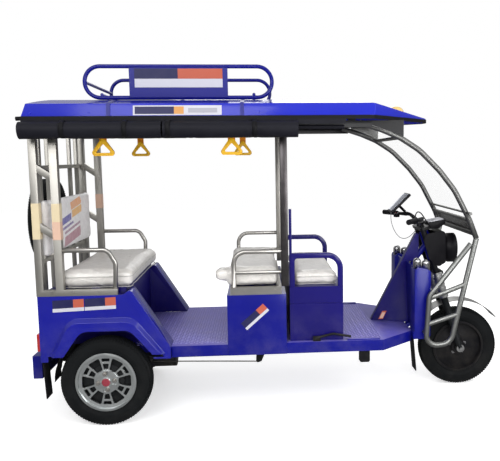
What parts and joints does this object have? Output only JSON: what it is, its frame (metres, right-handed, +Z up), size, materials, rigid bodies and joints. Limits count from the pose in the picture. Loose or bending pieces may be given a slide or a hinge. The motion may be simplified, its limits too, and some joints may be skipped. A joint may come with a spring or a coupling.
{
  "type": "auto rickshaw",
  "caption": "Battery three wheeler with a roofed open cabin, three seat rows, a bowed windscreen, a roof rack and one steered front wheel.",
  "frame": {"origin": "middle of the length and width, on the ground", "axes": "+X forward, +Y to the driver's left, +Z up"},
  "size_m": [2.796, 1.1912, 1.9609],
  "materials": {
    "blue_paint": "gloss",
    "black_paint": "satin",
    "stainless": "brushed",
    "chrome_trim": "polished",
    "silver_alloy": "satin",
    "cast_metal": "matt",
    "dark_steel": "matt",
    "tyre_rubber": "matt",
    "black_rubber": "matt",
    "black_plastic": "matt",
    "yellow_plastic": "gloss",
    "seat_vinyl": "soft sheen",
    "curtain_cloth": "matt",
    "board_blue": "gloss",
    "red_lens": "gloss",
    "amber_lens": "gloss",
    "clear_glass": "clear"
  },
  "bodies": {
    "root": {"chassis_frame": "black_paint", "rear_axle": "cast_metal", "drive_motor": "cast_metal", "leaf_springs": "dark_steel", "battery_pack": "black_plastic", "floor_deck": "blue_paint", "rear_seat_base": "blue_paint", "rear_side_panels": "blue_paint", "rear_step": "blue_paint", "mud_flaps": "black_rubber", "rear_posts": "stainless", "rear_back_frame": "stainless", "mid_posts": "stainless", "rear_backrest": "seat_vinyl", "rear_seat_cushion": "seat_vinyl", "mid_seat_cushion": "seat_vinyl", "driver_seat_cushion": "seat_vinyl", "seat_rails": "stainless", "mid_seat_box": "blue_paint", "driver_seat_box": "blue_paint", "driver_seat_rails": "blue_paint", "roof_canopy": "blue_paint", "roof_frame": "stainless", "luggage_rack": "blue_paint", "sign_board": "board_blue", "roof_lamp": "amber_lens", "curtain_rolls": "curtain_cloth", "grab_handles": "yellow_plastic", "spare_wheel": "tyre_rubber", "headstock": "blue_paint", "front_cowl": "blue_paint", "console": "blue_paint", "front_guards": "stainless", "windscreen_frame": "stainless", "windscreen_glass": "clear_glass", "windscreen_lower_panel": "clear_glass", "brake_linkage": "dark_steel", "tail_lamps": "red_lens", "cowl_lamps": "amber_lens"},
    "steering": {"front_fork": "chrome_trim", "handlebar": "black_paint", "handlebar_grips": "black_rubber", "headlamp": "black_plastic", "headlamp_lens": "clear_glass", "dash_cluster": "black_plastic", "display_unit": "black_plastic", "front_fender": "chrome_trim"},
    "front_wheel": {"front_tyre": "tyre_rubber", "front_rim": "silver_alloy"},
    "rear_wheel_right": {"rear_tyre_right": "tyre_rubber", "rear_rim_right": "silver_alloy"},
    "rear_wheel_left": {"rear_tyre_left": "tyre_rubber", "rear_rim_left": "silver_alloy"}
  },
  "joints": [
    {"name": "steer", "type": "hinge", "parent": "root", "child": "steering", "pos_m": [0.925, 0, 1], "axis": [-0.309, 0, 0.9511], "range_deg": [-35, 35]},
    {"name": "front_wheel_spin", "type": "hinge", "parent": "steering", "child": "front_wheel", "pos_m": [1.152, 0, 0.246], "axis": [0, 1, 0], "continuous": true},
    {"name": "rear_wheel_right_spin", "type": "hinge", "parent": "root", "child": "rear_wheel_right", "pos_m": [-0.945, -0.435, 0.246], "axis": [0, 1, 0], "continuous": true},
    {"name": "rear_wheel_left_spin", "type": "hinge", "parent": "root", "child": "rear_wheel_left", "pos_m": [-0.945, 0.435, 0.246], "axis": [0, 1, 0], "continuous": true}
  ]
}
